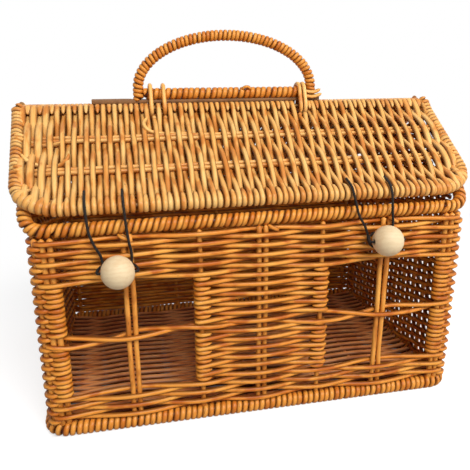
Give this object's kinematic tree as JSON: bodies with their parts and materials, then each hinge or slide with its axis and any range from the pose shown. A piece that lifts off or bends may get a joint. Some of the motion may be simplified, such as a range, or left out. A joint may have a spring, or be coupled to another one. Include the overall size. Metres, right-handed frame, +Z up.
{
  "type": "wicker basket",
  "caption": "House-shaped wicker basket: a woven box under a sloping roof lid hinged at its ridge, with front windows, a wrapped arch handle and bead-and-loop closures.",
  "frame": {"origin": "on the ground under the middle of the body", "axes": "+Z up, the front wall with the windows faces -Y, +X to the right seen from the front, along the ridge"},
  "size_m": [0.3906, 0.2529, 0.3216],
  "materials": {
    "cane_weave": "honey-coloured round cane, satin varnish",
    "cane_border": "honey-coloured cane wrapped tightly, satin varnish",
    "cane_stake": "honey-coloured round cane, satin varnish",
    "slat_wood": "dark brown split bamboo, satin",
    "bead_wood": "pale turned wood, satin",
    "cord": "black braided elastic cord, matt"
  },
  "bodies": {
    "basket": {"base_border": "cane_border", "floor_weave": "cane_weave", "front_wall_weave": "cane_weave", "back_wall_weave": "cane_weave", "left_wall_weave": "cane_weave", "right_wall_weave": "cane_weave", "front_left_post": "cane_stake", "front_right_post": "cane_stake", "front_centre_stake_left": "cane_stake", "front_centre_stake_right": "cane_stake", "left_window_bar_left": "cane_stake", "left_window_bar_right": "cane_stake", "right_window_bar_left": "cane_stake", "right_window_bar_right": "cane_stake", "back_left_post": "cane_stake", "back_left_stake": "cane_stake", "back_centre_stake": "cane_stake", "back_right_stake": "cane_stake", "back_right_post": "cane_stake", "left_wall_stake": "cane_stake", "right_wall_stake": "cane_stake", "left_window_weaver_front": "cane_weave", "left_window_weaver_back": "cane_weave", "right_window_weaver_front": "cane_weave", "right_window_weaver_back": "cane_weave", "front_rim": "cane_border", "back_rim": "cane_border", "left_gable_border": "cane_border", "right_gable_border": "cane_border", "rear_roof_weave": "cane_weave", "rear_roof_rod_1_upper": "cane_stake", "rear_roof_rod_1_lower": "cane_stake", "rear_roof_rod_2_upper": "cane_stake", "rear_roof_rod_2_lower": "cane_stake", "rear_roof_ridge_rod": "cane_border", "rear_roof_eave_border": "cane_border", "rear_roof_side_border_left": "cane_border", "rear_roof_side_border_right": "cane_border", "handle_arch": "cane_border", "handle_bar": "cane_border", "ridge_slat": "slat_wood", "left_lashing": "cane_weave", "right_lashing": "cane_weave"},
    "lid": {"lid_weave": "cane_weave", "lid_rod_1_upper": "cane_stake", "lid_rod_1_lower": "cane_stake", "lid_rod_2_upper": "cane_stake", "lid_rod_2_lower": "cane_stake", "lid_ridge_rod": "cane_border", "lid_eave_border": "cane_border", "lid_side_border_left": "cane_border", "lid_side_border_right": "cane_border", "left_closure_loop": "cord", "right_closure_loop": "cord"},
    "left_bead_on_tie": {"left_bead": "bead_wood", "left_bead_tie": "cord"},
    "right_bead_on_tie": {"right_bead": "bead_wood", "right_bead_tie": "cord"}
  },
  "joints": [
    {"name": "lid_hinge", "type": "hinge", "parent": "basket", "child": "lid", "pos_m": [0, -0.0056, 0.2543], "axis": [-1, 0, 0], "range_deg": [0, 85], "deforming": ["left_closure_loop", "right_closure_loop"]},
    {"name": "left_bead_swing", "type": "hinge", "parent": "basket", "child": "left_bead_on_tie", "pos_m": [-0.1146, -0.1134, 0.1497], "axis": [-1, 0, 0], "range_deg": [0, 25]},
    {"name": "right_bead_swing", "type": "hinge", "parent": "basket", "child": "right_bead_on_tie", "pos_m": [0.0987, -0.1134, 0.1586], "axis": [-1, 0, 0], "range_deg": [0, 25]}
  ]
}
